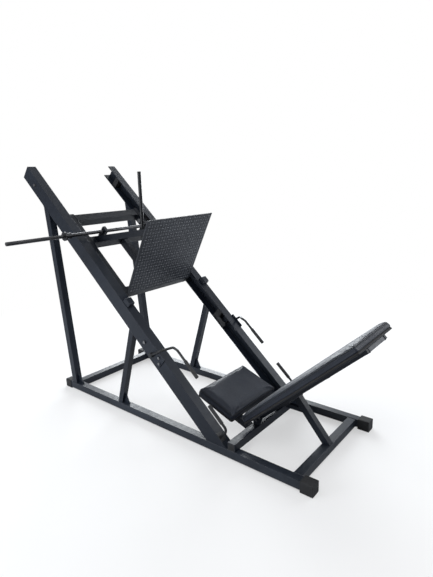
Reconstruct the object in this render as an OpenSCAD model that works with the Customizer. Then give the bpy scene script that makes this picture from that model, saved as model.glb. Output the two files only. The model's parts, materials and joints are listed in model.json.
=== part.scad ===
// Inclined leg press machine: a carriage with a foot plate and a weight bar
// runs on rollers inside two sloping channel rails above a welded base.
// Millimetres. +Z is up, +Y points to the raised rear end of the rails,
// +X is the right-hand side of the person on the seat. The origin is on the
// floor, in the middle of the machine's length and width.

/* [Base] */
// Width over the outer faces of the base tubes
machine_w = 800; // [780:10:840]
// Length of the base over its rubber shoes
base_l = 2143; // [2120:1:2180]
// Side of the square tube of the base and the rear uprights
tube = 50; // [46:1:54]
// Wall of every square tube
wall = 3; // [2:0.5:4]
// Height of the base tubes above the floor
foot_lift = 10; // [6:1:14]
// Front face of the front cross tube
front_cross_y = 90; // [86:1:94]
// Front face of the rear cross tube
rear_cross_y = 2013; // [1990:1:2016]
// Front face of the raised cross tube under the seat
seat_cross_y = 492; // [488:1:493]

/* [Rails] */
// Slope of the guide rails in degrees
rail_incline = 42.1; // [41.5:0.1:42.7]
// Where the rails' underside would meet the lower plane of the base tubes
rail_foot_y = 643; // [642:1:648]
// Distance up the slope from that point to the rails' upper end
rail_l = 2385; // [2340:5:2420]
// Depth of the channel, square to the slope
rail_d = 100; // [99:1:102]
// Width of the channel
rail_w = 65; // [64:1:67]
// Thickness of the channel's web and flanges
rail_t = 6; // [5:0.5:6]

/* [Uprights and braces] */
// Lean of the rear uprights in degrees, tops to the rear
upright_lean = 5.6; // [3:0.1:7]
// Front edge of the rear uprights on the base
upright_y = 2003; // [1980:1:2010]
// Side of the square tube of the middle braces
brace = 40; // [36:1:44]
// Lean of the middle braces in degrees, tops to the front
brace_lean = 17.1; // [12:0.1:20]
// Front edge of the middle braces on the base
brace_y = 1475; // [1450:1:1500]

/* [Carriage] */
// Lower end of the carriage up the slope, at rest
sled_s = 1150; // [1145:1:1155]
// Length of the carriage's side tubes
sled_l = 750; // [745:5:760]
// Height of the weight bar's centre above the rails' underside
bar_h = 140; // [136:1:144]
// Length of the weight bar
bar_l = 1830; // [1700:10:1900]
// Diameter of the weight bar and of the centre post
bar_d = 25; // [24:0.5:28]
// Width of the foot plate
plate_w = 618; // [560:2:624]
// Height of the foot plate along its own face
plate_l = 554; // [540:2:570]
// Lean of the foot plate away from square to the rails
plate_lean = 15.9; // [15:0.1:17]
// Height of the centre post's top above the floor
post_top = 1628; // [1400:1:1650]
// Diameter of the rollers
roller_d = 86; // [84:0.5:86]

/* [Safety levers and hand grips] */
// Place of the lever pivots up the slope
lever_s = 690; // [685:1:695]
// Height of the lever pivots above the rails' underside
lever_h = 50; // [48:1:52]
// Diameter of the bent lever rods and grip rods
rod_d = 16; // [14:1:16]
// Height of the lever handles above the rails' underside
handle_h = 202; // [198:1:208]
// Lower end of the lever handles up the slope
handle_s = 392; // [380:1:420]
// Height of the hand grips above the rails' underside
grip_h = 172; // [160:1:180]

/* [Seat and backrest] */
// Width of the seat pad and of the backrest pad
pad_w = 500; // [480:5:520]
// Length of the seat pad
seat_l = 312; // [300:1:320]
// Slope of the seat in degrees, rear edge up
seat_tilt = 20.6; // [19.6:0.1:21.6]
// Thickness of the seat pad
seat_t = 50; // [44:1:54]
// Length of the backrest pad
back_l = 935; // [905:5:945]
// Slope of the backrest in degrees
back_incline = 42.4; // [42:0.1:42.8]
// Lean of the backrest's support post in degrees, top to the rear
post_lean = 40; // [38:0.5:42]
// Thickness of the backrest pad
back_t = 45; // [40:1:45]

/* [Hidden] */
$fn = 48;
slide_fit = 0.05;
plug_fit = 0.2;
sleeve_l = 125;
bend_lap = 1;
bend_swell = 0.1;

half_w = machine_w / 2;
base_top = foot_lift + tube;
rail_x = half_w - rail_w;
shoe_floor = 12;
gusset_t = 6;

roller_w = 40;
roller_x = rail_x + 10;
roller_h = rail_d / 2;
roller_s = [sled_s + 90, sled_s + 640];
travel_down = 385;
travel_up = 380;
stop_l = 44;
stop_s = [
    roller_s[0] - roller_d / 2 - travel_down - 4 - stop_l,
    roller_s[1] + roller_d / 2 + travel_up + 7
];
stop_bolt_r = 6;
catch_s = sled_s - 120;
catch_w = 44;

sled_w = 40;
sled_z = 20;
sled_top = 80;
sled_x = rail_x - 11 - sled_w;
lower_cross_s = sled_s;
lower_cross_w = 50;
middle_cross_s = sled_s + 460;
upper_cross_s = sled_s + 680;
axle_r = 10;

bar_s = sled_s + 505;
clamp_x = 183;
clamp_w = 24;
clamp_l = 44;
clamp_top = 165;
collar_x = half_w + 72;
collar_l = 50;
plate_t = 6;
strut = 40;
strut_x = 215;
strut_s = sled_s + 490;
strut_lean = 38.9;
rib_x = 117;
post_s = sled_s + 199;
post_y = rail_foot_y + post_s * cos(rail_incline) - sled_top * sin(rail_incline);
post_z = foot_lift + post_s * sin(rail_incline) + sled_top * cos(rail_incline);

lever_plate_t = 8;
lever_x = half_w + lever_plate_t + 10;
bush_r = 14;
lever_bolt_s = [lever_s - 50, lever_s - 75];
lever_bolt_h = [90, 60];
grip_x = half_w - 20;

board_t = 12;
seat_y = seat_cross_y + 111;
seat_z = base_top + tube + 68;
arm = 40;
back_y = seat_cross_y + 92;
back_z = base_top + tube + 63;
back_tube = 25;
back_rail_x = 110;
back_rail_z = back_t + board_t;
back_under_z = back_rail_z + back_tube;
back_rail_l = back_l - 28;
back_bolt_y = [26, 60];
head_t = 6;
support_y = front_cross_y + tube / 2;
support_l = (sin(back_incline) * (back_y - support_y) + cos(back_incline) * (back_z - base_top)
    - back_under_z - head_t) / cos(back_incline - post_lean);
support_s = cos(back_incline) * (back_y - support_y) - sin(back_incline) * (back_z - base_top)
    + support_l * sin(back_incline - post_lean);

y_front = back_y - back_rail_l * cos(back_incline) - back_under_z * sin(back_incline);
y_rear = rail_foot_y + rail_l * cos(rail_incline);
y_mid = (y_front + y_rear) / 2;

frame_colour = [0.10, 0.11, 0.13];
base_colour = [0.20, 0.22, 0.26];
sled_colour = [0.07, 0.08, 0.09];
plate_colour = [0.24, 0.25, 0.27];
steel_colour = [0.55, 0.56, 0.58];
plastic_colour = [0.08, 0.08, 0.08];
rubber_colour = [0.05, 0.05, 0.05];
vinyl_colour = [0.16, 0.17, 0.19];
board_colour = [0.10, 0.09, 0.09];

// ---- Frames of reference ----

// Y starts at the front end of the base, Z at the floor.
module machine() {
    translate([0, -y_mid, 0]) children();
}

// Y runs up the slope of the rails, Z is square to it.
module on_rails() {
    machine() translate([0, rail_foot_y, foot_lift]) rotate([rail_incline, 0, 0]) children();
}

// Y goes through the foot plate to its back, Z runs up its face.
module on_plate() {
    on_rails() translate([0, sled_s - 8, sled_top - 4]) rotate([-plate_lean, 0, 0]) children();
}

// Y runs to the seat's rear edge, Z is square to its top.
module on_seat() {
    machine() translate([0, seat_y, seat_z]) rotate([seat_tilt, 0, 0]) children();
}

// Y runs up the backrest, Z goes through it to its back side.
module on_back() {
    machine() translate([0, back_y, back_z]) rotate([180 - back_incline, 0, 0]) children();
}

// Everything is drawn on the right-hand side; side -1 mirrors it to the left.
module on_side(side) {
    mirror([side < 0 ? 1 : 0, 0, 0]) children();
}

module both_sides() {
    for (side = [-1, 1]) on_side(side) children();
}

// ---- Spaces for cutting ----

module above_base() {
    machine() translate([-half_w, -200, base_top]) cube([machine_w, 3000, 2000]);
}

module below_rails() {
    on_rails() translate([-half_w, -300, -2200]) cube([machine_w, 3200, 2200]);
}

// ---- Shapes ----

// Square tube along Y, with a corner at the origin.
module tube_y(w, l, h) {
    difference() {
        cube([w, l, h]);
        translate([wall, -1, wall]) cube([w - 2 * wall, l + 2, h - 2 * wall]);
    }
}

// Square tube along Z, with a corner at the origin.
module tube_z(w, l) {
    difference() {
        cube([w, w, l]);
        translate([wall, wall, -1]) cube([w - 2 * wall, w - 2 * wall, l + 2]);
    }
}

// Square tube across the machine, centred on X.
module tube_x(l, w, h) {
    translate([-l / 2, 0, 0]) difference() {
        cube([l, w, h]);
        translate([-1, wall, wall]) cube([l + 2, w - 2 * wall, h - 2 * wall]);
    }
}

// Cylinder along +X.
module rod_x(r, l) {
    rotate([0, 90, 0]) cylinder(r = r, h = l);
}

// Hexagon along +X, measured across its flats.
module hex_x(flats, l) {
    rotate([0, 90, 0]) cylinder(r = flats / 2 / cos(30), h = l, $fn = 6);
}

// Plate of thickness t along +X, its outline given in Y and Z.
module plate_x(t, outline) {
    rotate([90, 0, 90]) linear_extrude(t) polygon(outline);
}

// Flat slab centred on X, with rounded corners in plan.
module rounded_slab(w, l, t, r) {
    translate([r - w / 2, 0, 0]) cube([w - 2 * r, l, t]);
    translate([-w / 2, r, 0]) cube([w, l - 2 * r, t]);
    for (x = [r - w / 2, w / 2 - r], y = [r, l - r])
        translate([x, y, 0]) cylinder(r = r, h = t);
}

// Block along Y centred on X, with its long edges rounded.
module rounded_block(w, l, h, r) {
    translate([r - w / 2, 0, 0]) cube([w - 2 * r, l, h]);
    translate([-w / 2, 0, r]) cube([w, l, h - 2 * r]);
    for (x = [r - w / 2, w / 2 - r], z = [r, h - r])
        translate([x, 0, z]) rotate([-90, 0, 0]) cylinder(r = r, h = l);
}

// Moves the origin to o and turns +X, +Y and +Z to three unit vectors.
module to_frame(o, x, y, z) {
    multmatrix([
        [x[0], y[0], z[0], o[0]],
        [x[1], y[1], z[1], o[1]],
        [x[2], y[2], z[2], o[2]],
        [0, 0, 0, 1]
    ]) children();
}

function unit(v) = v / norm(v);

function bend_angle(p, i) = acos(unit(p[i] - p[i - 1]) * unit(p[i + 1] - p[i]));

// Length that the arc at point i takes from the straights on both sides.
function bend_cut(p, i, bend_r) =
    i == 0 || i == len(p) - 1 ? 0 : bend_r * tan(bend_angle(p, i) / 2);

// Straight of a bent rod, from point i to point i + 1, lapping into its arcs.
module rod_straight(p, i, r, bend_r) {
    z = unit(p[i + 1] - p[i]);
    x = unit(cross(z, abs(z[0]) > 0.9 ? [0, 1, 0] : [1, 0, 0]));
    cut_a = max(0, bend_cut(p, i, bend_r) - bend_lap);
    cut_b = max(0, bend_cut(p, i + 1, bend_r) - bend_lap);
    to_frame(p[i] + z * cut_a, x, cross(z, x), z)
        cylinder(r = r, h = norm(p[i + 1] - p[i]) - cut_a - cut_b);
}

// Arc of a bent rod at point i, a hair thicker than the straights it joins.
module rod_bend(p, i, r, bend_r) {
    from = unit(p[i] - p[i - 1]);
    to = unit(p[i + 1] - p[i]);
    inward = unit(to - from * (from * to));
    start = p[i] - from * bend_cut(p, i, bend_r);
    to_frame(start + inward * bend_r, -inward, from, cross(from, inward))
        rotate_extrude(angle = bend_angle(p, i))
            translate([bend_r, 0]) circle(r = r + bend_swell);
}

// Round rod through the points p, with an arc at each bend.
module bent_rod(p, r, bend_r) {
    for (i = [0 : len(p) - 2]) rod_straight(p, i, r, bend_r);
    for (i = [1 : len(p) - 2]) rod_bend(p, i, r, bend_r);
}

// Closed sleeve over the last l millimetres of a rod that ends at Z = 0.
module rod_sleeve(l) {
    r = rod_d / 2;
    rotate_extrude() polygon([
        [0, 0], [r + slide_fit, 0], [r + slide_fit, -l], [r + 2, -l], [r + 3, 1 - l],
        [r + 3, 2], [r + 1, 4], [0, 4]
    ]);
}

// ---- Base ----

module base_rail(side) {
    color(base_colour) on_side(side) machine()
        translate([half_w - tube, shoe_floor, foot_lift])
            tube_y(tube, base_l - 2 * shoe_floor, tube);
}

module base_rail_left() { base_rail(-1); }
module base_rail_right() { base_rail(1); }

module front_cross_tube() {
    color(base_colour) machine() translate([0, front_cross_y, foot_lift])
        tube_x(machine_w - 2 * tube, tube, tube);
}

module rear_cross_tube() {
    color(base_colour) machine() translate([0, rear_cross_y, foot_lift])
        tube_x(machine_w - 2 * tube, tube, tube);
}

// Lies across the base tubes, just in front of the rails.
module seat_cross_tube() {
    color(frame_colour) machine() translate([0, seat_cross_y, base_top])
        tube_x(machine_w, tube, tube);
}

// Plug in the end of a square tube that ends at Y = 0 and comes from +Y.
module end_plug(w, h) {
    translate([wall + plug_fit, 0, wall + plug_fit])
        cube([w - 2 * wall - 2 * plug_fit, 14, h - 2 * wall - 2 * plug_fit]);
}

module frame_end_caps() {
    color(plastic_colour) both_sides() {
        machine() translate([half_w, seat_cross_y, base_top])
            rotate([0, 0, 90]) end_plug(tube, tube);
        on_back() translate([back_rail_x, 0, back_rail_z]) end_plug(back_tube, back_tube);
        on_back() translate([back_rail_x, back_rail_l, back_rail_z])
            mirror([0, 1, 0]) end_plug(back_tube, back_tube);
    }
}

// Rubber shoe over the end of a base tube, closed at Y = 0.
module shoe(w, l, h) {
    difference() {
        rounded_block(w, l, h, 8);
        translate([-tube / 2 - plug_fit, shoe_floor, foot_lift])
            cube([tube + 2 * plug_fit, l, tube + plug_fit]);
    }
}

module front_shoes() {
    color(rubber_colour) both_sides() machine()
        translate([half_w - tube / 2, 0, 0]) shoe(tube + 20, 72, base_top + 10);
}

module rear_shoes() {
    color(rubber_colour) both_sides() machine()
        translate([half_w - tube / 2, base_l, 0]) mirror([0, 1, 0])
            shoe(tube + 8, 62, base_top + 4);
}

// ---- Uprights, braces and rails ----

module rear_upright(side) {
    color(frame_colour) on_side(side) intersection() {
        machine() translate([half_w - tube, upright_y, base_top])
            rotate([-upright_lean, 0, 0]) translate([0, 0, -60]) tube_z(tube, 1600);
        above_base();
        below_rails();
    }
}

module rear_upright_left() { rear_upright(-1); }
module rear_upright_right() { rear_upright(1); }

module middle_brace(side) {
    color(frame_colour) on_side(side) intersection() {
        machine() translate([half_w - (tube + brace) / 2, brace_y, base_top])
            rotate([brace_lean, 0, 0]) translate([0, 0, -60]) tube_z(brace, 900);
        above_base();
        below_rails();
    }
}

module brace_left() { middle_brace(-1); }
module brace_right() { middle_brace(1); }

// Triangular gusset on the base, in front of a leaning member's foot.
module gusset(y, lean) {
    translate([half_w - tube / 2 - gusset_t / 2, y, base_top])
        plate_x(gusset_t, [[0, 0], [-60, 0], [80 * tan(lean), 80]]);
}

module frame_gussets() {
    color(frame_colour) both_sides() machine() {
        gusset(upright_y, upright_lean);
        gusset(brace_y, -brace_lean);
    }
}

module guide_rail(side) {
    color(frame_colour) on_side(side) intersection() {
        on_rails() difference() {
            translate([rail_x, -80, 0]) cube([rail_w, rail_l + 80, rail_d]);
            translate([rail_x - 1, -81, rail_t])
                cube([rail_w - rail_t + 1, rail_l + 82, rail_d - 2 * rail_t]);
            translate([rail_x, lever_s, lever_h]) rod_x(bush_r + slide_fit, rail_w + 1);
            for (i = [0, 1])
                translate([rail_x, lever_bolt_s[i], lever_bolt_h[i] - 6]) rod_x(5.1, rail_w + 1);
            for (s = stop_s)
                translate([rail_x, s + stop_l / 2, roller_h]) rod_x(stop_bolt_r + 0.1, rail_w + 1);
        }
        above_base();
    }
}

module guide_rail_left() { guide_rail(-1); }
module guide_rail_right() { guide_rail(1); }

// Rubber blocks inside the channels that end the rollers' run.
module rail_stops() {
    color(rubber_colour) both_sides() on_rails() for (s = stop_s) difference() {
        translate([rail_x + 7, s, rail_t + 2])
            cube([rail_w - rail_t - 7, stop_l, rail_d - 2 * rail_t - 4]);
        translate([half_w - 32, s + stop_l / 2, roller_h]) rod_x(stop_bolt_r + 0.1, 40);
    }
}

module stop_bolts() {
    color(steel_colour) both_sides() on_rails() for (s = stop_s)
        translate([half_w, s + stop_l / 2, roller_h]) {
            hex_x(19, 8);
            translate([-30, 0, 0]) rod_x(stop_bolt_r, 34);
        }
}

// Blocks on top of the rails, just below the parked carriage.
module rail_catches() {
    color(frame_colour) both_sides() on_rails() translate([half_w - 48, catch_s, rail_d]) {
        cube([catch_w, 55, 28]);
        translate([0, 10, 0]) cube([catch_w, 35, 38]);
        for (y = [10, 45]) translate([0, y, 28]) rod_x(10, catch_w);
    }
}

// ---- Lever bearings and hand grips ----

// Plates outside the rails, each with a bush that reaches through the web.
module lever_plates() {
    color(frame_colour) both_sides() on_rails() difference() {
        union() {
            translate([half_w, lever_s - 90, 28]) cube([lever_plate_t, 112, 84]);
            translate([half_w - 16, lever_s, lever_h]) rod_x(bush_r, lever_plate_t + 17);
        }
        translate([half_w - 20, lever_s, lever_h]) rod_x(rod_d / 2 + slide_fit, 50);
        for (i = [0, 1])
            translate([half_w - 1, lever_bolt_s[i], lever_bolt_h[i] - 6]) rod_x(5.1, 20);
    }
}

module lever_plate_bolts() {
    color(steel_colour) both_sides() on_rails() for (i = [0, 1])
        translate([half_w + lever_plate_t, lever_bolt_s[i], lever_bolt_h[i] - 6]) {
            hex_x(17, 6);
            translate([-26, 0, 0]) rod_x(5, 28);
            translate([-lever_plate_t - rail_t - 8, 0, 0]) hex_x(17, 8);
        }
}

module hand_grip(side) {
    path = [[grip_x, 40, rail_d + 3], [grip_x, 40, grip_h], [grip_x, 215, grip_h]];
    color(steel_colour) on_side(side) on_rails() {
        translate([grip_x - 20, 12, rail_d]) cube([40, 56, 6]);
        bent_rod(path, rod_d / 2, 28);
    }
}

module hand_grip_left() { hand_grip(-1); }
module hand_grip_right() { hand_grip(1); }

module grip_sleeves() {
    color(rubber_colour) both_sides() on_rails()
        translate([grip_x, 215, grip_h]) rotate([-90, 0, 0]) rod_sleeve(sleeve_l);
}

// ---- Seat ----

// Two tubes from the rear face of the seat cross tube to the seat board.
module seat_arms() {
    color(frame_colour) both_sides() intersection() {
        on_seat() translate([120, -160, -seat_t - board_t - arm]) tube_y(arm, seat_l + 138, arm);
        machine() translate([0, seat_cross_y + tube, base_top]) cube([half_w, 500, 300]);
    }
}

module seat_board() {
    color(board_colour) on_seat() translate([0, 14, -seat_t - board_t])
        rounded_slab(pad_w - 30, seat_l - 28, board_t, 12);
}

module seat_pad() {
    color(vinyl_colour) on_seat() translate([0, 0, -seat_t])
        rounded_slab(pad_w, seat_l, seat_t, 20);
}

// ---- Backrest ----

// Machine Y and Z of a point of the backrest's own Y and Z.
function back_point(y, z) = [
    back_y - y * cos(back_incline) - z * sin(back_incline),
    back_z + y * sin(back_incline) - z * cos(back_incline)
];

// Plates on the seat cross tube that hold the backrest's frame rails.
module back_brackets() {
    z = base_top + tube;
    color(frame_colour) both_sides() difference() {
        machine() translate([back_rail_x + back_tube, 0, 0]) plate_x(8, [
            [seat_cross_y + 2, z], [seat_cross_y + tube - 2, z], back_point(2, back_rail_z + 3),
            back_point(72, back_rail_z + 3), back_point(76, back_under_z)
        ]);
        on_back() for (s = back_bolt_y)
            translate([back_rail_x + 20, s, back_rail_z + back_tube / 2]) rod_x(4.1, 30);
    }
}

module back_bolts() {
    color(steel_colour) both_sides() on_back() for (s = back_bolt_y)
        translate([back_rail_x + back_tube + 8, s, back_rail_z + back_tube / 2]) {
            hex_x(13, 6);
            translate([-16, 0, 0]) rod_x(4, 18);
        }
}

module back_frame_rails() {
    color(frame_colour) both_sides() on_back() difference() {
        translate([back_rail_x, 0, back_rail_z]) tube_y(back_tube, back_rail_l, back_tube);
        for (s = back_bolt_y)
            translate([back_rail_x + 20, s, back_rail_z + back_tube / 2]) rod_x(4.1, 30);
    }
}

module back_crossbars() {
    color(frame_colour) on_back() for (s = [60, 150, 269, 600, back_rail_l - back_tube])
        translate([0, s, back_rail_z]) tube_x(2 * back_rail_x, back_tube, back_tube);
}

module back_board() {
    color(board_colour) on_back() translate([0, 12, back_t])
        rounded_slab(pad_w - 24, back_l - 30, board_t, 12);
}

module backrest_pad() {
    color(vinyl_colour) on_back() rounded_slab(pad_w, back_l, back_t, 20);
}

// Z runs up the support post, from the middle of its foot on the base.
module on_support() {
    machine() translate([0, support_y, base_top]) rotate([-post_lean, 0, 0]) children();
}

// Tube from the front cross tube up to a head plate under the backrest.
module back_support_post() {
    color(frame_colour) {
        on_back() translate([-back_rail_x - back_tube, support_s - 32, back_under_z])
            cube([2 * (back_rail_x + back_tube), 64, head_t]);
        intersection() {
            on_support() translate([-20, -20, -60]) tube_z(40, support_l + 100);
            on_back() translate([-50, -200, back_under_z + head_t]) cube([100, 1000, 600]);
            above_base();
        }
    }
}

// Short level tube from the support post to the backrest's second crossbar.
module post_strut() {
    color(frame_colour) intersection() {
        machine() translate([-12.5, 200, base_top + 150]) tube_y(25, 300, 25);
        on_back() translate([-50, -100, back_under_z]) cube([100, 600, 300]);
        on_support() translate([-50, 20, 0]) cube([100, 400, 600]);
    }
}

// ---- Carriage ----

module sled_side(side) {
    color(sled_colour) on_side(side) on_rails() difference() {
        translate([sled_x, sled_s, sled_z]) tube_y(sled_w, sled_l, sled_top - sled_z);
        for (s = roller_s)
            translate([sled_x - 1, s, roller_h]) rod_x(axle_r + 0.1, sled_w + 2);
    }
}

module sled_side_left() { sled_side(-1); }
module sled_side_right() { sled_side(1); }

module sled_cross(s, w) {
    color(sled_colour) on_rails() translate([0, s, sled_z])
        tube_x(2 * sled_x, w, sled_top - sled_z);
}

module sled_upper_cross() { sled_cross(upper_cross_s, 60); }
module sled_middle_cross() { sled_cross(middle_cross_s, 60); }
module sled_lower_cross() { sled_cross(lower_cross_s, lower_cross_w); }

// Runs from the lower to the middle cross tube and carries the post.
module sled_centre_tube() {
    start = lower_cross_s + lower_cross_w;
    color(sled_colour) on_rails() translate([-sled_w / 2, start, sled_z])
        tube_y(sled_w, middle_cross_s - start, sled_top - sled_z);
}

module sled_end_caps() {
    color(plastic_colour) both_sides() on_rails() translate([sled_x, sled_s, sled_z]) {
        end_plug(sled_w, sled_top - sled_z);
        translate([0, sled_l, 0]) mirror([0, 1, 0]) end_plug(sled_w, sled_top - sled_z);
    }
}

module foot_plate() {
    color(plate_colour) on_plate() translate([-plate_w / 2, 0, 0])
        cube([plate_w, plate_t, plate_l]);
}

// Flat bars that stiffen the plate's back.
module foot_plate_ribs() {
    color(sled_colour) both_sides() on_plate() translate([rib_x, plate_t, 30])
        cube([6, 40, plate_l - 60]);
}

module plate_strut(side) {
    color(sled_colour) on_side(side) intersection() {
        on_rails() translate([strut_x, strut_s, sled_top]) rotate([strut_lean, 0, 0])
            translate([0, -strut / 2, -100]) tube_z(strut, 800);
        on_rails() translate([0, 0, sled_top]) cube([half_w, 3000, 900]);
        on_plate() translate([0, plate_t, 0]) cube([half_w, 900, plate_l]);
    }
}

module plate_strut_left() { plate_strut(-1); }
module plate_strut_right() { plate_strut(1); }

// Chamfered at both ends, with a locating groove under each collar.
module weight_bar() {
    r = bar_d / 2;
    end = bar_l / 2;
    face = collar_x + collar_l;
    color(steel_colour) on_rails() translate([0, bar_s, bar_h]) rotate([0, 90, 0])
        rotate_extrude() polygon([
            [0, -end], [r - 2, -end], [r, 2 - end], [r, -face], [r - 0.5, -face],
            [r - 0.5, 6 - face], [r, 6 - face], [r, face - 6], [r - 0.5, face - 6],
            [r - 0.5, face], [r, face], [r, end - 2], [r - 2, end], [0, end]
        ]);
}

module bar_clamps() {
    color(sled_colour) both_sides() on_rails() difference() {
        translate([clamp_x, bar_s - clamp_l / 2, sled_top])
            cube([clamp_w, clamp_l, clamp_top - sled_top]);
        translate([clamp_x - 1, bar_s, bar_h]) rod_x(bar_d / 2 + 0.1, clamp_w + 2);
    }
}

// Stops for the discs: a flange outside, a hub towards the machine.
module bar_collars() {
    color(steel_colour) both_sides() on_rails() translate([collar_x, bar_s, bar_h]) difference() {
        union() {
            rod_x(20, collar_l);
            translate([collar_l - 12, 0, 0]) rod_x(30, 12);
        }
        translate([-1, 0, 0]) rod_x(bar_d / 2 + slide_fit, collar_l + 2);
    }
}

// Upright post behind the foot plate, cut to stand on the centre tube.
module centre_post() {
    color(steel_colour) intersection() {
        machine() translate([0, post_y, post_z - 60])
            cylinder(r = bar_d / 2, h = post_top - post_z + 60);
        on_rails() translate([-50, 0, sled_top]) cube([100, 3000, 900]);
    }
}

module post_socket() {
    color(sled_colour) intersection() {
        machine() translate([0, post_y, post_z - 60]) difference() {
            cylinder(r = bar_d / 2 + 5, h = 125);
            translate([0, 0, -1]) cylinder(r = bar_d / 2 + slide_fit, h = 127);
        }
        on_rails() translate([-50, 0, sled_top]) cube([100, 3000, 900]);
    }
}

// ---- Rollers ----

// Axles with a head inside the side tube and a ring outside the roller.
module roller_axles() {
    color(steel_colour) both_sides() on_rails() for (s = roller_s)
        translate([0, s, roller_h]) {
            translate([sled_x - 8, 0, 0]) rod_x(16, 8);
            translate([sled_x - 1, 0, 0]) rod_x(axle_r, roller_x + roller_w + 7 - sled_x + 1);
            translate([roller_x + roller_w + 1, 0, 0]) rod_x(axle_r + 4, 5);
        }
}

module axle_spacers() {
    color(steel_colour) both_sides() on_rails() for (s = roller_s)
        translate([sled_x + sled_w, s, roller_h]) difference() {
            rod_x(15, roller_x - sled_x - sled_w - 0.5);
            translate([-1, 0, 0]) rod_x(axle_r + slide_fit, 40);
        }
}

// Wheel with a raised hub and a raised rim on both faces.
module roller(side, s) {
    r = roller_d / 2;
    color(plastic_colour) on_side(side) on_rails() translate([roller_x, s, roller_h])
        rotate([0, 90, 0]) rotate_extrude() polygon([
            [axle_r + slide_fit, 0], [20, 0], [20, 5], [r - 12, 5], [r - 10, 1], [r - 2, 1],
            [r, 3], [r, roller_w - 3], [r - 2, roller_w - 1], [r - 10, roller_w - 1],
            [r - 12, roller_w - 5], [20, roller_w - 5], [20, roller_w], [axle_r + slide_fit, roller_w]
        ]);
}

module roller_left_lower() { roller(-1, roller_s[0]); }
module roller_left_upper() { roller(-1, roller_s[1]); }
module roller_right_lower() { roller(1, roller_s[0]); }
module roller_right_upper() { roller(1, roller_s[1]); }

// ---- Safety levers ----

// Handle rod outside the rail, shaft through the bush and pawl inside it.
module safety_lever(side) {
    path = [
        [lever_x, lever_s, lever_h], [lever_x, lever_s - 33, lever_h + 95],
        [rail_x + 20, lever_s - 60, handle_h - 13], [rail_x + 20, lever_s - 94, handle_h],
        [rail_x + 20, handle_s, handle_h]
    ];
    color(steel_colour) on_side(side) on_rails() {
        bent_rod(path, rod_d / 2, 24);
        translate([0, lever_s, lever_h]) {
            translate([lever_x - 8.5, 0, 0]) rod_x(15, 18);
            translate([rail_x - 18, 0, 0]) rod_x(rod_d / 2, lever_x - rail_x + 20);
            translate([rail_x - 23, 0, 0]) rod_x(19, 10);
            translate([rail_x - 23, 0, -15]) cube([10, 65, 30]);
        }
    }
}

module safety_lever_left() { safety_lever(-1); }
module safety_lever_right() { safety_lever(1); }

module lever_sleeve(side) {
    color(rubber_colour) on_side(side) on_rails()
        translate([rail_x + 20, handle_s, handle_h]) rotate([90, 0, 0]) rod_sleeve(sleeve_l);
}

module lever_sleeve_left() { lever_sleeve(-1); }
module lever_sleeve_right() { lever_sleeve(1); }

// ---- Drawing ----

base_rail_left();
base_rail_right();
front_cross_tube();
rear_cross_tube();
seat_cross_tube();
frame_end_caps();
front_shoes();
rear_shoes();
rear_upright_left();
rear_upright_right();
brace_left();
brace_right();
frame_gussets();
guide_rail_left();
guide_rail_right();
rail_stops();
stop_bolts();
rail_catches();
lever_plates();
lever_plate_bolts();
hand_grip_left();
hand_grip_right();
grip_sleeves();
seat_arms();
seat_board();
seat_pad();
back_brackets();
back_bolts();
back_frame_rails();
back_crossbars();
back_board();
backrest_pad();
back_support_post();
post_strut();
sled_side_left();
sled_side_right();
sled_upper_cross();
sled_middle_cross();
sled_lower_cross();
sled_centre_tube();
sled_end_caps();
foot_plate();
foot_plate_ribs();
plate_strut_left();
plate_strut_right();
weight_bar();
bar_clamps();
bar_collars();
centre_post();
post_socket();
roller_axles();
axle_spacers();
roller_left_lower();
roller_left_upper();
roller_right_lower();
roller_right_upper();
safety_lever_left();
safety_lever_right();
lever_sleeve_left();
lever_sleeve_right();
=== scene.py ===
import json
import math
import random

import bmesh
import bpy
from mathutils import Matrix, Vector, noise
from mathutils.bvhtree import BVHTree
from mathutils.kdtree import KDTree


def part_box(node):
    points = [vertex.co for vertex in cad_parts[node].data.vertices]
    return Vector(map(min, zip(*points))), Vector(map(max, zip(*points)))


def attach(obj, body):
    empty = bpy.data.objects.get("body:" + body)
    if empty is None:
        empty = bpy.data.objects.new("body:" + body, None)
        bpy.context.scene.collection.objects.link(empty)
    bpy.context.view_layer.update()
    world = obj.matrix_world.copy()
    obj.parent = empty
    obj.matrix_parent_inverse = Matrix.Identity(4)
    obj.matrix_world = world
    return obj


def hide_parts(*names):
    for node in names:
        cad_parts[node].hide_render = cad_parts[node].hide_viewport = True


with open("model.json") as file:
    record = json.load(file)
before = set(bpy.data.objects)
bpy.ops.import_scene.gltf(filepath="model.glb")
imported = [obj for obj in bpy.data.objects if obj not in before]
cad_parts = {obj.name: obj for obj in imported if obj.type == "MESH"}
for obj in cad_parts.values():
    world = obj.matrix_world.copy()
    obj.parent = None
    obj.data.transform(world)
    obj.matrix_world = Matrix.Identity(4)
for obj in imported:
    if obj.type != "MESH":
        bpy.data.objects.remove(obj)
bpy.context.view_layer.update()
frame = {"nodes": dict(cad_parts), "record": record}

NODES = frame["nodes"]
random.seed(7)
noise.seed_set(7)

# ---------------------------------------------------------------- frames of reference

RAIL_ANGLE = math.radians(42.1)
SEAT_ANGLE = math.radians(20.6)
BACK_ANGLE = math.radians(42.4)
RAIL_LENGTH = 2.385
RAIL_LIFT = 0.010
SEAT_W, SEAT_L, SEAT_T = 0.500, 0.312, 0.050
BACK_W, BACK_L, BACK_T = 0.500, 0.935, 0.045
PLATE_LEAN = math.radians(15.9)
PLATE_FOOT = (1.142, 0.076)
PLATE_W, PLATE_L, PLATE_T = 0.618, 0.554, 0.006
BASE_TOP = 0.060
SLED_TOP = 0.080
CENTRE_TUBE_ENDS = (1.200, 1.610)
BACK_POST_CUT, BACK_STRUT_CUT = 0.088, 0.082


def tilted(y, z, angle):
    """Frame with its origin on the middle plane at y, z, turned about X."""
    return Matrix.Translation((0, y, z)) @ Matrix.Rotation(angle, 4, "X")


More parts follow.
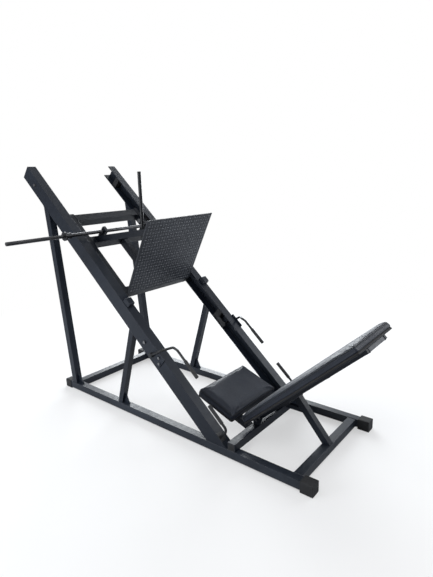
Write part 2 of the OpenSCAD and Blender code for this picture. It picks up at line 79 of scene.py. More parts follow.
rail_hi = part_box("guide_rail_left")[1]
seat_lo, seat_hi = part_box("seat_pad")
back_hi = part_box("backrest_pad")[1]
RAILS = tilted(rail_hi.y - RAIL_LENGTH * math.cos(RAIL_ANGLE), RAIL_LIFT, RAIL_ANGLE)
SEAT = tilted(seat_lo.y, seat_hi.z - SEAT_L * math.sin(SEAT_ANGLE), SEAT_ANGLE)
BACK = tilted(back_hi.y, back_hi.z - BACK_L * math.sin(BACK_ANGLE), math.pi - BACK_ANGLE)
PLATE = RAILS @ tilted(*PLATE_FOOT, -PLATE_LEAN)

# ---------------------------------------------------------------- mesh helpers


def new_object(name, mesh):
    obj = bpy.data.objects.new(name, mesh)
    bpy.context.scene.collection.objects.link(obj)
    return obj


def mesh_from_bmesh(name, bm):
    mesh = bpy.data.meshes.new(name)
    bm.to_mesh(mesh)
    bm.free()
    return mesh


def evaluated_mesh(obj):
    graph = bpy.context.evaluated_depsgraph_get()
    graph.update()
    return bpy.data.meshes.new_from_object(obj.evaluated_get(graph))


def add_tube(bm, points, radius, sides=8, closed=False, ripple=0.0, pitch=0.004):
    """Sweeps a circle along points into bm; ripple makes it bead like a weld."""
    count = len(points)
    rings = []
    run = 0.0
    for i, p in enumerate(points):
        a = points[i - 1] if (i > 0 or closed) else p
        b = points[(i + 1) % count] if (i < count - 1 or closed) else p
        if i > 0:
            run += (p - points[i - 1]).length
        t = (b - a).normalized()
        ref = Vector((0, 0, 1)) if abs(t.z) < 0.9 else Vector((0, 1, 0))
        x = t.cross(ref).normalized()
        y = x.cross(t)
        r = radius * (1.0 + ripple * math.sin(2 * math.pi * run / pitch))
        rings.append([bm.verts.new(p + r * (math.cos(q) * x + math.sin(q) * y))
                      for q in (2 * math.pi * k / sides for k in range(sides))])
    last = count if closed else count - 1
    for i in range(last):
        r0, r1 = rings[i], rings[(i + 1) % count]
        for k in range(sides):
            bm.faces.new((r0[k], r0[(k + 1) % sides], r1[(k + 1) % sides], r1[k]))
    if not closed:
        bm.faces.new(list(reversed(rings[0])))
        bm.faces.new(rings[-1])


def resample(points, step, closed=False):
    out = []
    count = len(points)
    for i in range(count if closed else count - 1):
        a, b = points[i], points[(i + 1) % count]
        n = max(1, int((b - a).length / step))
        out += [a.lerp(b, k / n) for k in range(n)]
    if not closed:
        out.append(points[-1])
    return out


# ---------------------------------------------------------------- materials


class Graph:
    """A material's node tree with short calls."""

    def __init__(self, name):
        self.mat = bpy.data.materials.new(name)
        self.mat.use_nodes = True
        self.tree = self.mat.node_tree
        self.bsdf = self.tree.nodes["Principled BSDF"]
        self.coord = self.add("ShaderNodeTexCoord").outputs["Object"]

    def add(self, kind, **values):
        """New node; a value goes to the node's own setting or to the input of that name."""
        node = self.tree.nodes.new(kind)
        for key, value in values.items():
            if hasattr(node, key):
                setattr(node, key, value)
            else:
                node.inputs[key].default_value = value
        return node

    def link(self, a, b):
        self.tree.links.new(a, b)

    def feed(self, target, value):
        """Links an output to a socket, or sets the socket to a number or colour."""
        if hasattr(value, "links"):
            self.link(value, target)
        elif isinstance(value, tuple) and len(value) == 3 and len(target.default_value) == 4:
            target.default_value = (*value, 1)
        else:
            target.default_value = value

    def put(self, socket, value):
        self.feed(self.bsdf.inputs[socket], value)

    def noise(self, scale, detail=4.0, rough=0.6, stretch=(1, 1, 1)):
        mapping = self.add("ShaderNodeMapping", Scale=stretch)
        self.link(self.coord, mapping.inputs["Vector"])
        node = self.add("ShaderNodeTexNoise", Scale=scale, Detail=detail, Roughness=rough)
        self.link(mapping.outputs["Vector"], node.inputs["Vector"])
        return node.outputs["Fac"]

    def voronoi(self, scale, feature="DISTANCE_TO_EDGE"):
        node = self.add("ShaderNodeTexVoronoi", feature=feature, Scale=scale)
        self.link(self.coord, node.inputs["Vector"])
        return node.outputs["Distance"]

    def ramp(self, fac, stops):
        node = self.add("ShaderNodeValToRGB")
        ramp = node.color_ramp
        while len(ramp.elements) < len(stops):
            ramp.elements.new(0.5)
        for element, (at, value) in zip(ramp.elements, stops):
            element.position = at
            element.color = (*value, 1)
        self.link(fac, node.inputs["Fac"])
        return node.outputs["Color"]

    def range(self, fac, lo, hi, from_lo=0.0, from_hi=1.0):
        node = self.add("ShaderNodeMapRange")
        limits = {"From Min": from_lo, "From Max": from_hi, "To Min": lo, "To Max": hi}
        for key, value in limits.items():
            node.inputs[key].default_value = value
        self.link(fac, node.inputs["Value"])
        return node.outputs["Result"]

    def math(self, operation, a, b):
        node = self.add("ShaderNodeMath", operation=operation)
        self.feed(node.inputs[0], a)
        self.feed(node.inputs[1], b)
        return node.outputs[0]

    def mix(self, fac, a, b):
        node = self.add("ShaderNodeMix", data_type="RGBA")
        for socket, value in ((node.inputs[0], fac), (node.inputs[6], a), (node.inputs[7], b)):
            self.feed(socket, value)
        return node.outputs[2]

    def edge_mask(self, radius, spread=0.12):
        """1 on convex and concave edges, 0 on flats."""
        bevel = self.add("ShaderNodeBevel", samples=6, Radius=radius)
        geometry = self.add("ShaderNodeNewGeometry")
        dot = self.add("ShaderNodeVectorMath", operation="DOT_PRODUCT")
        self.link(bevel.outputs["Normal"], dot.inputs[0])
        self.link(geometry.outputs["Normal"], dot.inputs[1])
        return self.range(dot.outputs["Value"], 0.0, 1.0, 1.0, 1.0 - spread)

    def bump(self, layers, rounded=0.0):
        """layers: (height, strength, distance in metres). rounded softens hard edges in shading."""
        normal = None
        if rounded:
            normal = self.add("ShaderNodeBevel", samples=6, Radius=rounded).outputs["Normal"]
        for height, strength, distance in layers:
            node = self.add("ShaderNodeBump", Strength=strength, Distance=distance)
            self.link(height, node.inputs["Height"])
            if normal is not None:
                self.link(normal, node.inputs["Normal"])
            normal = node.outputs["Normal"]
        self.put("Normal", normal)


def enamel(name, base, light, rough, wear=0.5, spec=0.24, metal=(0.20, 0.205, 0.215)):
    """Satin enamel on steel: orange peel, faint dust and scuffs, and rubbed edges."""
    g = Graph(name)
    cloud = g.noise(2.3, 5, 0.62)
    fine = g.noise(34, 6, 0.7)
    streak = g.noise(9, 5, 0.7, (1, 0.16, 0.16))
    tone = g.mix(g.range(cloud, 0, 1, 0.35, 0.7), base, light)
    patchy = g.range(fine, 0.2, 1, 0.35, 0.65)
    dust = g.math("MULTIPLY", g.range(streak, 0, 0.35, 0.52, 0.78), patchy)
    tone = g.mix(dust, tone, tuple(min(1, c * 1.9 + 0.012) for c in light))
    speck = g.range(g.noise(260, 2, 0.5), 0, 1, 0.70, 0.74)
    tone = g.mix(g.math("MULTIPLY", speck, 0.10), tone, metal)
    rubbed = g.range(g.noise(21, 6, 0.75), 0, wear, 0.46, 0.66)
    tone = g.mix(g.math("MULTIPLY", g.edge_mask(0.0022), rubbed), tone, metal)
    sheen = g.range(fine, rough - 0.07, rough + 0.12, 0.3, 0.7)
    g.put("Base Color", tone)
    g.put("Roughness", g.math("ADD", sheen, g.math("MULTIPLY", dust, 0.25)))
    g.put("Specular IOR Level", spec)
    g.put("Coat Weight", 0.06)
    g.put("Coat Roughness", 0.22)
    g.bump([(g.noise(420, 2, 0.5), 0.05, 0.0005), (fine, 0.04, 0.0012)], rounded=0.0022)
    return g.mat


def bare_steel(name, base, dull, rough, metallic, along=(1, 30, 30)):
    """Drawn or turned steel: brushed along its length, dulled and slightly stained."""
    stain = (0.10, 0.065, 0.04)
    g = Graph(name)
    grain = g.noise(60, 4, 0.6, along)
    cloud = g.noise(6, 6, 0.7)
    tone = g.mix(g.range(cloud, 0, 1, 0.38, 0.68), base, dull)
    spots = g.range(g.noise(15, 7, 0.78), 0, 0.55, 0.60, 0.76)
    rust = g.math("MULTIPLY", spots, g.range(cloud, 0.2, 1, 0.4, 0.6))
    brushed = g.range(grain, rough - 0.08, rough + 0.14, 0.3, 0.7)
    g.put("Base Color", g.mix(rust, tone, stain))
    g.put("Metallic", metallic)
    g.put("Roughness", g.math("ADD", brushed, g.math("MULTIPLY", rust, 0.4)))
    g.bump([(grain, 0.12, 0.0004), (g.noise(180, 3, 0.6), 0.10, 0.0004)], rounded=0.0012)
    return g.mat


def moulded(name, base, rough, grain=700, spec=0.35):
    """Rubber or moulded plastic with a fine spark-eroded surface and pale scuffs."""
    g = Graph(name)
    cloud = g.noise(7, 5, 0.65)
    tone = g.mix(g.range(cloud, 0, 1, 0.35, 0.7), base, tuple(c * 1.7 + 0.004 for c in base))
    scuff = g.range(g.noise(48, 6, 0.8, (1, 1, 0.3)), 0, 0.5, 0.58, 0.72)
    scratch = g.math("MULTIPLY", scuff, g.edge_mask(0.005, 0.25))
    g.put("Base Color", g.mix(scratch, tone, (0.16, 0.16, 0.16)))
    g.put("Roughness", g.range(cloud, rough - 0.08, rough + 0.1, 0.3, 0.7))
    g.put("Specular IOR Level", spec)
    g.bump([(g.noise(grain, 2, 0.5), 0.22, 0.0005)], rounded=0.0025)
    return g.mat


def vinyl(name, base, light):
    """Upholstery vinyl: leather grain in two sizes, faint creases, polished where it is used."""
    g = Graph(name)
    cloud = g.noise(5, 5, 0.6)
    cells = g.voronoi(420)
    pores = g.voronoi(1150, "F1")
    crease = g.noise(26, 6, 0.72, (1, 2.4, 1))
    tone = g.mix(g.range(cloud, 0, 1, 0.34, 0.7), base, light)
    tone = g.mix(g.range(cells, 0.35, 0.0, 0.0, 0.10), tone, tuple(c * 0.35 for c in base))
    dust = g.range(g.noise(90, 6, 0.8), 0, 0.22, 0.56, 0.78)
    g.put("Base Color", g.mix(dust, tone, tuple(min(1, c * 2.4 + 0.03) for c in light)))
    g.put("Roughness", g.range(g.noise(3.1, 4, 0.6), 0.40, 0.58, 0.35, 0.65))
    g.put("Specular IOR Level", 0.21)
    g.put("Sheen Weight", 0.05)
    g.put("Sheen Roughness", 0.5)
    leather = g.range(cells, 0, 1, 0.0, 0.12)
    g.bump([(crease, 0.16, 0.0022), (leather, 0.42, 0.00035), (pores, 0.12, 0.0002)])
    return g.mat


def painted_board(name):
    """Plywood painted dark: grain shows through and the cut edges are rough."""
    g = Graph(name)
    grain = g.noise(14, 8, 0.7, (14, 1, 1))
    dark, middle, pale = (0.016, 0.015, 0.015), (0.030, 0.028, 0.026), (0.052, 0.046, 0.040)
    g.put("Base Color", g.ramp(grain, [(0.3, dark), (0.55, middle), (0.75, pale)]))
    g.put("Roughness", g.range(grain, 0.62, 0.85, 0.3, 0.7))
    g.put("Specular IOR Level", 0.25)
    g.bump([(grain, 0.35, 0.0009), (g.noise(320, 3, 0.6), 0.15, 0.0005)], rounded=0.0015)
    return g.mat


FRAME_PAINT = enamel("frame_enamel", (0.0055, 0.0080, 0.0135), (0.012, 0.0165, 0.026), 0.34)
BASE_PAINT = enamel("base_enamel", (0.010, 0.0135, 0.020), (0.026, 0.032, 0.043), 0.40, 0.7, 0.30)
SLED_PAINT = enamel("carriage_enamel", (0.0035, 0.0048, 0.0080), (0.008, 0.0105, 0.016), 0.36,
                    0.5, 0.20)
TREAD_PAINT = enamel("tread_enamel", (0.018, 0.0205, 0.0265), (0.034, 0.038, 0.047), 0.42,
                     0.6, 0.30)
# The lugs take a much lighter copy of the plate's enamel: painted highlight on the raised lugs, added
# to their rubbed edges.
TREAD_LUG_HIGHLIGHT = enamel("tread_lug_highlight_enamel", (0.085, 0.091, 0.102), (0.150, 0.157, 0.170), 0.34,
                    1.0, 0.4, (0.30, 0.305, 0.315))
ROD_PAINT = enamel("rod_enamel", (0.008, 0.0085, 0.0095), (0.018, 0.019, 0.021), 0.30, 0.9, 0.3)
BAR_STEEL = bare_steel("bar_steel", (0.110, 0.110, 0.115), (0.034, 0.034, 0.036), 0.19, 0.92)
ZINC = bare_steel("zinc_steel", (0.24, 0.24, 0.245), (0.13, 0.13, 0.135), 0.36, 1.0, (8, 8, 8))
RUBBER = moulded("black_rubber", (0.010, 0.010, 0.011), 0.68)
GRIP_RUBBER = moulded("grip_rubber", (0.014, 0.014, 0.015), 0.55, 500)
WHEEL = moulded("wheel_plastic", (0.022, 0.022, 0.024), 0.45, 900, 0.45)
CAP_PLASTIC = moulded("cap_plastic", (0.008, 0.008, 0.009), 0.5, 900, 0.4)
VINYL = vinyl("charcoal_vinyl", (0.0110, 0.0140, 0.0225), (0.0190, 0.0235, 0.0345))
WELT = vinyl("welt_vinyl", (0.010, 0.011, 0.014), (0.018, 0.020, 0.025))
THREAD = moulded("stitch_thread", (0.030, 0.032, 0.038), 0.7, 1400, 0.3)
BOARD = painted_board("painted_board")

BY_SLOT = {
    "frame_paint": FRAME_PAINT, "base_paint": BASE_PAINT, "carriage_paint": SLED_PAINT,
    "tread_plate": TREAD_PAINT, "bar_steel": BAR_STEEL, "rod_steel": ROD_PAINT,
    "zinc_steel": ZINC, "rubber": RUBBER, "roller_plastic": WHEEL, "cap_plastic": CAP_PLASTIC,
    "vinyl": VINYL, "board": BOARD,
}
for part in frame["record"]["subparts"]:
    obj = NODES[part["node"]]
    obj.data.materials.clear()
    obj.data.materials.append(BY_SLOT[part["material_slot"]])

for tip in ("lever_sleeve_left", "lever_sleeve_right", "grip_sleeves"):
    NODES[tip].data.materials[0] = GRIP_RUBBER
NODES["centre_post"].data.materials[0] = ROD_PAINT

# ---------------------------------------------------------------- cushions


def rounded_outline(w, l, r, step):
    """Points round a rectangle with rounded corners, x centred, y from 0 to l."""
    points = []
    side = w / 2 - r
    for cx, cy, start in ((side, r, -90), (side, l - r, 0), (-side, l - r, 90), (-side, r, 180)):
        n = max(4, int(r * math.pi / 2 / step))
        for k in range(n + 1):
            a = math.radians(start + 90 * k / n)
            points.append(Vector((cx + r * math.cos(a), cy + r * math.sin(a), 0)))
    return resample(points, step, closed=True)


def slab(name, w, l, t, r, inset, edge):
    """Closed slab, top at z = 0 and underside at z = -t, its top edge rounded over."""
    outline = rounded_outline(w, l, r, 0.012)
    middle = Vector((0, l / 2, 0))
    levels = [(-t, inset + edge * 0.35), (-t + edge * 0.4, inset), (-edge * 1.3, inset),
              (-edge * 0.45, inset + edge * 0.3), (-inset, inset + edge)]
    bm = bmesh.new()
    rings = []
    for z, shrink in levels:
        sx = (w / 2 - shrink) / (w / 2)
        sy = (l / 2 - shrink) / (l / 2)
        rings.append([bm.verts.new((p.x * sx, middle.y + (p.y - middle.y) * sy, z)) for p in outline])
    count = len(outline)
    for a, b in zip(rings, rings[1:]):
        for k in range(count):
            bm.faces.new((a[k], a[(k + 1) % count], b[(k + 1) % count], b[k]))
    bm.faces.new(rings[-1])
    bm.faces.new(list(reversed(rings[0])))
    return new_object(name, mesh_from_bmesh(name, bm))


SWELL_FRAMES = 20


def inflate(obj, voxel, cap, pinned_below):
    """Swells a remeshed pad by cloth pressure, holding its underside still."""
    remesh = obj.modifiers.new("remesh", "REMESH")
    remesh.mode = "VOXEL"
    remesh.voxel_size = voxel
    obj.data = evaluated_mesh(obj)
    obj.modifiers.clear()
    rest = [v.co.copy() for v in obj.data.vertices]
    group = obj.vertex_groups.new(name="pin")
    group.add([i for i, p in enumerate(rest) if p.z < pinned_below], 1.0, "REPLACE")
    cloth = obj.modifiers.new("cloth", "CLOTH")
    settings = cloth.settings
    settings.quality = 6
    settings.mass = 0.3
    settings.tension_stiffness = 22
    settings.compression_stiffness = 22
    settings.shear_stiffness = 10
    settings.bending_stiffness = 1.2
    settings.use_pressure = True
    settings.uniform_pressure_force = 4.5
    settings.vertex_group_mass = "pin"
    settings.effector_weights.gravity = 0
    cloth.point_cache.frame_start = 1
    cloth.point_cache.frame_end = SWELL_FRAMES
    for f in range(1, SWELL_FRAMES + 1):
        bpy.context.scene.frame_set(f)
    swollen = evaluated_mesh(obj)
    obj.modifiers.clear()
    obj.data = swollen
    for v, p in zip(obj.data.vertices, rest):
        move = v.co - p
        if move.length > cap:
            v.co = p + move * (cap / move.length)
    bpy.context.scene.frame_set(1)
    soften = obj.modifiers.new("soften", "SMOOTH")
    soften.factor = 0.5
    soften.iterations = 4
    divide = obj.modifiers.new("divide", "SUBSURF")
    divide.levels = 1
    divide.render_levels = 1
    obj.data = evaluated_mesh(obj)
    obj.modifiers.clear()
    obj.vertex_groups.clear()


def girth(mesh, z, w, l, r, step):
    """Points round the pad's side at height z, each with its normal, found on its surface."""
    bm = bmesh.new()
    bm.from_mesh(mesh)
    tree = BVHTree.FromBMesh(bm)
    bm.free()
    found = []
    for p in rounded_outline(w, l, r, step):
        core = Vector((max(-w / 2 + r, min(w / 2 - r, p.x)) * 0.9, max(r, min(l - r, p.y)), z))
        out = Vector((p.x, p.y, z)) - core
        hit = tree.ray_cast(core, out.normalized())
        if hit[0] is not None:
            found.append((hit[0], hit[1]))
    return found


def pull_in(obj, points, depth, width):
    """Presses a groove into the pad along a line of points."""
    bm = bmesh.new()
    bm.from_mesh(obj.data)
    tree = KDTree(len(points))
    for i, p in enumerate(points):
        tree.insert(p, i)
    tree.balance()
    bm.normal_update()
    for v in bm.verts:
        distance = tree.find(v.co)[2]
        if distance < width:
            v.co -= v.normal * depth * (0.5 + 0.5 * math.cos(math.pi * distance / width))
    bm.to_mesh(obj.data)
    bm.free()


def finish_piece(obj, matrix, material, body):
    """Moves a piece to its place, gives it its finish and sets it on its body."""
    obj.data.transform(matrix)
    obj.data.materials.clear()
    obj.data.materials.append(material)
    for face in obj.data.polygons:
        face.use_smooth = True
    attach(obj, body)


PAD_CORNER = 0.022
WELT_RADIUS = 0.0024
STITCH_RADIUS = 0.0006
STITCH_PITCH = 0.0065
STITCH_OFFSETS = (0.0075, -0.0075)


def cushion(name, node, matrix, w, l, t, voxel, cap, seam_z):
    """Swollen pad with a welt round its side and a row of stitches on either side of it."""
    r = PAD_CORNER
    pad = slab(name, w, l, t, r, 0.006, 0.013)
    inflate(pad, voxel, cap, -t + 0.002)
    loop = [p for p, _ in girth(pad.data, seam_z, w, l, r, 0.008)]
    pull_in(pad, loop, 0.0016, 0.010)

    bm = bmesh.new()
    add_tube(bm, loop, WELT_RADIUS, 8, closed=True)
    welt = new_object(name + "_welt", mesh_from_bmesh(name + "_welt", bm))

    bm = bmesh.new()
    for offset in STITCH_OFFSETS:
        row = girth(pad.data, seam_z + offset, w, l, r, STITCH_PITCH)
        for (a, normal), (b, _) in zip(row, row[1:]):
            a, b = a.lerp(b, 0.16), a.lerp(b, 0.84)
            lift = normal * 0.0002
            add_tube(bm, [a + lift, (a + b) / 2 + lift * 2.4, b + lift], STITCH_RADIUS, 5)
    stitches = new_object(name + "_stitches", mesh_from_bmesh(name + "_stitches", bm))

    finish_piece(pad, matrix, VINYL, "frame")
    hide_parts(node)
    finish_piece(welt, matrix, WELT, "frame")
    finish_piece(stitches, matrix, THREAD, "frame")


FLIP = Matrix.Diagonal((-1, 1, -1, 1))
cushion("seat_cushion", "seat_pad", SEAT, SEAT_W, SEAT_L, SEAT_T, 0.006, 0.011, -0.016)
cushion("backrest_cushion", "backrest_pad", BACK @ FLIP, BACK_W, BACK_L, BACK_T,
        0.0065, 0.010, -0.015)

# ---------------------------------------------------------------- hems under the boards


BOARD_CORNER = 0.012
HEM_PROFILE = ((-0.0012, 0.006), (-0.0012, -0.0012), (0.004, -0.0020), (0.030, -0.0016),
               (0.034, -0.0002))
STAPLE_INSET = 0.018
STAPLE_GAP = 0.034


def hem(name, matrix, board_w, board_l, y0, z):
    """Vinyl turned over the board's rim and stapled down, as a thin ring on its back."""
    outer = rounded_outline(board_w, board_l, BOARD_CORNER, 0.014)
    count = len(outer)
    centre = Vector((0, board_l / 2, 0))
    bm = bmesh.new()
    rings = []
    for k, (inset, height) in enumerate(HEM_PROFILE):
        ring = []
        for p in outer:
            away = p - centre
            wave = 0.0030 * noise.noise(Vector((p.x * 22, p.y * 22, k))) if k >= 3 else 0.0
            sx = (abs(away.x) - inset - wave) / max(abs(away.x), 1e-6)
            sy = (abs(away.y) - inset - wave) / max(abs(away.y), 1e-6)
            x = away.x * (sx if abs(away.x) > 0.04 else 1)
            y = away.y * (sy if abs(away.y) > 0.04 else 1)
            ring.append(bm.verts.new((x, centre.y + y0 + y, z + height)))
        rings.append(ring)
    for a, b in zip(rings, rings[1:]):
        for k in range(count):
            bm.faces.new((a[k], b[k], b[(k + 1) % count], a[(k + 1) % count]))
    band = new_object(name, mesh_from_bmesh(name, bm))
    finish_piece(band, matrix, WELT, "frame")

    bm = bmesh.new()
    w, l = board_w - 2 * STAPLE_INSET, board_l - 2 * STAPLE_INSET
    leg = Vector((0, 0, 0.0012))
    for p in rounded_outline(w, l, BOARD_CORNER, STAPLE_GAP):
        spot = Vector((p.x, p.y + y0 + STAPLE_INSET, z - 0.0022))
        a = random.uniform(-0.5, 0.5)
        d = Vector((math.cos(a), math.sin(a), 0)) * 0.005
        add_tube(bm, [spot - d + leg, spot - d, spot + d, spot + d + leg], 0.00045, 5)
    staples = new_object(name + "_staples", mesh_from_bmesh(name + "_staples", bm))
    finish_piece(staples, matrix, ZINC, "frame")


hem("seat_hem", SEAT, SEAT_W - 0.030, SEAT_L - 0.028, 0.014, -0.062)
hem("backrest_hem", BACK @ FLIP, BACK_W - 0.024, BACK_L - 0.030, 0.012, -0.057)

# ---------------------------------------------------------------- tread pattern on the foot plate


def tread():
    """Rows of lens-shaped lugs that lie and stand in turn, as on chequer plate."""
    pitch, margin, sides = 0.0245, 0.012, 10
    long, wide, high = 0.0120, 0.0042, 0.0019
    nx, nz = int((PLATE_W - margin) / pitch), int((PLATE_L - margin) / pitch)
    x0, z0 = -(nx - 1) * pitch / 2, (PLATE_L - (nz - 1) * pitch) / 2
    bm = bmesh.new()
    for i in range(nx):
        for k in range(nz):
            cx, cz = x0 + i * pitch, z0 + k * pitch
            upright = (i + k) % 2
            rings = []
            for scale, y in ((1.0, 0.0), (0.86, -high * 0.62), (0.55, -high)):
                ring = []
                for q in range(sides):
                    a = 2 * math.pi * q / sides
                    u = math.cos(a) * long * scale
                    v = math.sin(a) * wide * scale * (1 - 0.35 * abs(math.cos(a)))
                    if upright:
                        u, v = v, u
                    ring.append(bm.verts.new((cx + u, y, cz + v)))
                rings.append(ring)
            for a, b in zip(rings, rings[1:]):
                for q in range(sides):
                    bm.faces.new((a[q], a[(q + 1) % sides], b[(q + 1) % sides], b[q]))
            bm.faces.new(rings[-1])
    bmesh.ops.recalc_face_normals(bm, faces=bm.faces)
    return new_object("foot_plate_tread", mesh_from_bmesh("foot_plate_tread", bm))


finish_piece(tread(), PLATE, TREAD_LUG_HIGHLIGHT, "carriage")

# ---------------------------------------------------------------- weld beads


def islands(mesh):
    """Vertex lists of the mesh's separate shells, joined where they share a place."""
    key = {}
    parent = list(range(len(mesh.vertices)))

    def root(i):
        while parent[i] != i:
            parent[i] = parent[parent[i]]
            i = parent[i]
        return i

    for v in mesh.vertices:
        place = tuple(round(c, 5) for c in v.co)
        if place in key:
            parent[root(v.index)] = root(key[place])
        else:
            key[place] = v.index
    for e in mesh.edges:
        parent[root(e.vertices[0])] = root(e.vertices[1])
    groups = {}
    for v in mesh.vertices:
        groups.setdefault(root(v.index), []).append(v.co.copy())
    return list(groups.values())


def corner_loops(node, point, normal):
    """For each shell of a node that meets a plane, the four outermost corners on it."""
    loops = []
    for verts in islands(NODES[node].data):
        flat = [v for v in verts if abs((v - point).dot(normal)) < 0.0004]
        if len(flat) < 4:
            continue
        middle = sum(flat, Vector()) / len(flat)
        unique = []
        for v in sorted(flat, key=lambda p: -(p - middle).length):
            if all((v - u).length > 0.004 for u in unique):
                unique.append(v)
            if len(unique) == 4:
                break
        x = (unique[0] - middle).normalized()
        y = normal.cross(x)
        unique.sort(key=lambda p: math.atan2((p - middle).dot(y), (p - middle).dot(x)))
        loops.append(unique)
    return loops


def weld(name, body, joints, material, radius=0.0030):
    """One piece of rippled beads, round each node where it meets the plane given with it."""
    bm = bmesh.new()
    for node, point, normal in joints:
        for loop in corner_loops(node, point, normal):
            path = [p + noise.noise_vector(p * 60) * 0.0006
                    for p in resample(loop, 0.0016, closed=True)]
            add_tube(bm, path, radius, 6, closed=True, ripple=0.16, pitch=0.0048)
    bead = new_object(name, mesh_from_bmesh(name, bm))
    finish_piece(bead, Matrix(), material, body)


UP = Vector((0, 0, 1))
SIDE = Vector((1, 0, 0))
rail_normal = (RAILS.to_3x3() @ UP).normalized()
rail_along = (RAILS.to_3x3() @ Vector((0, 1, 0))).normalized()
rail_under = RAILS.to_translation()
sled_face = RAILS @ Vector((0, 0, SLED_TOP))
plate_normal = (PLATE.to_3x3() @ Vector((0, 1, 0))).normalized()
plate_back = PLATE @ Vector((0, PLATE_T, 0))
base_plane = Vector((0, 0, BASE_TOP))
back_normal = (BACK.to_3x3() @ UP).normalized()
post_plane = BACK @ Vector((0, 0, BACK_POST_CUT))
strut_plane = BACK @ Vector((0, 0, BACK_STRUT_CUT))
BASE_INNER_X = 0.350
SLED_INNER_X = 0.284
BACK_INNER_X = 0.110


def both_sides(node, x):
    """A node's two ends, where they meet the planes at x and -x."""
    return [(node, Vector((x, 0, 0)), SIDE), (node, Vector((-x, 0, 0)), SIDE)]


uprights = ("rear_upright_left", "rear_upright_right", "brace_left", "brace_right")
frame_joints = [(node, base_plane, UP) for node in uprights]
frame_joints += [(node, rail_under, rail_normal) for node in uprights]
frame_joints.append(("back_support_post", post_plane, back_normal))
frame_joints.append(("post_strut", strut_plane, back_normal))
frame_joints += both_sides("back_crossbars", BACK_INNER_X)
weld("frame_welds", "frame", frame_joints, FRAME_PAINT, 0.0028)

base_joints = both_sides("front_cross_tube", BASE_INNER_X)
base_joints += both_sides("rear_cross_tube", BASE_INNER_X)
base_joints += [(node, base_plane, UP) for node in ("guide_rail_left", "guide_rail_right")]
weld("base_welds", "frame", base_joints, BASE_PAINT)

sled_joints = []
for node in ("sled_upper_cross", "sled_middle_cross", "sled_lower_cross"):
    sled_joints += both_sides(node, SLED_INNER_X)
for s in CENTRE_TUBE_ENDS:
    sled_joints.append(("sled_centre_tube", RAILS @ Vector((0, s, 0)), rail_along))
for node in ("plate_strut_left", "plate_strut_right"):
    sled_joints += [(node, sled_face, rail_normal), (node, plate_back, plate_normal)]
sled_joints.append(("bar_clamps", sled_face, rail_normal))
weld("carriage_welds", "carriage", sled_joints, SLED_PAINT, 0.0028)

# ---------------------------------------------------------------- floor, light, camera


def studio_floor():
    """Pale matt floor that fades to the backdrop's white away from the machine."""
    g = Graph("studio_floor")
    cloud = g.range(g.noise(1.2, 4, 0.6), 0, 0.25, 0.3, 0.7)
    g.put("Base Color", g.mix(cloud, (0.80, 0.80, 0.80), (0.75, 0.75, 0.75)))
    g.put("Roughness", 0.8)
    g.put("Specular IOR Level", 0.1)
    distance = g.add("ShaderNodeVectorMath", operation="LENGTH")
    g.link(g.coord, distance.inputs[0])
    seen = g.add("ShaderNodeLightPath").outputs["Is Camera Ray"]
    fade = g.range(distance.outputs["Value"], 0.45, 1.0, 1.5, 3.4)
    glow = g.add("ShaderNodeEmission", Strength=1.0)
    glow.inputs["Color"].default_value = (1, 1, 1, 1)
    pale = g.add("ShaderNodeMixShader")
    g.link(fade, pale.inputs["Fac"])
    g.link(g.bsdf.outputs["BSDF"], pale.inputs[1])
    g.link(glow.outputs["Emission"], pale.inputs[2])
    dim = g.add("ShaderNodeBsdfDiffuse")
    dim.inputs["Color"].default_value = (0.56, 0.57, 0.59, 1)
    choose = g.add("ShaderNodeMixShader")
    g.link(seen, choose.inputs["Fac"])
    g.link(dim.outputs["BSDF"], choose.inputs[1])
    g.link(pale.outputs["Shader"], choose.inputs[2])
    g.link(choose.outputs["Shader"], g.tree.nodes["Material Output"].inputs["Surface"])
    return g.mat


bm = bmesh.new()
bmesh.ops.create_grid(bm, x_segments=2, y_segments=2, size=30)
floor = new_object("floor", mesh_from_bmesh("floor", bm))
floor.data.materials.append(studio_floor())


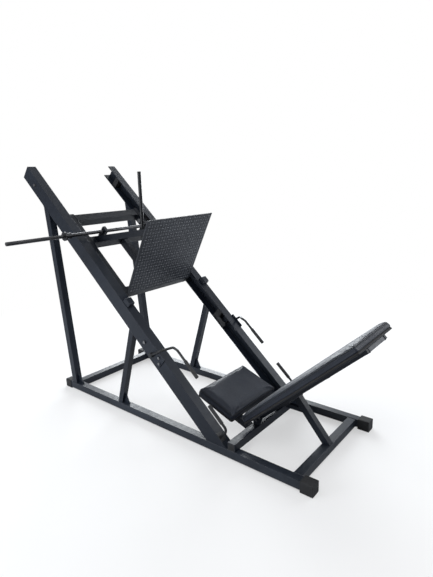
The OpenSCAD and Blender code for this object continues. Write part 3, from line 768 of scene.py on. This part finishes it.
def studio_world():
    """Soft light that brightens upwards, behind a plain white backdrop for the camera."""
    world = bpy.data.worlds.new("studio")
    world.use_nodes = True
    tree = world.node_tree
    background = tree.nodes["Background"]
    background.inputs["Strength"].default_value = 0.75
    coord = tree.nodes.new("ShaderNodeTexCoord")
    split = tree.nodes.new("ShaderNodeSeparateXYZ")
    ramp = tree.nodes.new("ShaderNodeValToRGB")
    low, high = ramp.color_ramp.elements
    low.position, low.color = 0.0, (0.30, 0.32, 0.36, 1)
    high.position, high.color = 0.8, (0.95, 0.97, 1.0, 1)
    backdrop = tree.nodes.new("ShaderNodeBackground")
    backdrop.inputs["Color"].default_value = (1, 1, 1, 1)
    path = tree.nodes.new("ShaderNodeLightPath")
    choose = tree.nodes.new("ShaderNodeMixShader")
    for start, end in (
        (coord.outputs["Generated"], split.inputs[0]),
        (split.outputs["Z"], ramp.inputs["Fac"]),
        (ramp.outputs["Color"], background.inputs["Color"]),
        (path.outputs["Is Camera Ray"], choose.inputs["Fac"]),
        (background.outputs["Background"], choose.inputs[1]),
        (backdrop.outputs["Background"], choose.inputs[2]),
        (choose.outputs["Shader"], tree.nodes["World Output"].inputs["Surface"]),
    ):
        tree.links.new(start, end)
    return world


bpy.context.scene.world = studio_world()


def area_light(name, place, aim, size, power, colour=(1, 1, 1)):
    data = bpy.data.lights.new(name, "AREA")
    data.size = size
    data.energy = power
    data.color = colour
    lamp = bpy.data.objects.new(name, data)
    bpy.context.scene.collection.objects.link(lamp)
    lamp.location = place
    lamp.visible_camera = False
    lamp.rotation_euler = (Vector(aim) - Vector(place)).to_track_quat("-Z", "Y").to_euler()


area_light("key", (-2.6, -1.6, 4.8), (0, 0.2, 0.5), 3.0, 75)
area_light("left", (-3.8, 1.6, 1.1), (-0.3, 0.2, 0.4), 1.8, 75, (0.92, 0.96, 1.0))
area_light("fill", (3.8, -2.6, 2.6), (0, -0.4, 0.5), 2.6, 60, (0.93, 0.96, 1.0))
area_light("window", (4.2, 3.6, 2.7), (0, 0.2, 0.6), 4.0, 420, (0.93, 0.97, 1.0))

YAW, PITCH, ROLL = (math.radians(a) for a in (50.85, 14.10, -1.46))
CAMERA_PLACE = (-2.2205, -2.0236, 1.5981)
flat = math.cos(PITCH)
ahead = Vector((math.sin(YAW) * flat, math.cos(YAW) * flat, -math.sin(PITCH)))
right = Vector((math.cos(YAW), -math.sin(YAW), 0))
above = right.cross(ahead)
camera_x = math.cos(ROLL) * right + math.sin(ROLL) * above
camera_y = math.cos(ROLL) * above - math.sin(ROLL) * right
turn = Matrix((camera_x, camera_y, -ahead)).transposed().to_4x4()
camera_data = bpy.data.cameras.new("camera")
camera_data.sensor_width = 36
camera_data.lens = 28.46
camera = bpy.data.objects.new("camera", camera_data)
bpy.context.scene.collection.objects.link(camera)
camera.matrix_world = Matrix.Translation(CAMERA_PLACE) @ turn
bpy.context.scene.camera = camera
bpy.context.scene.view_settings.view_transform = "Standard"
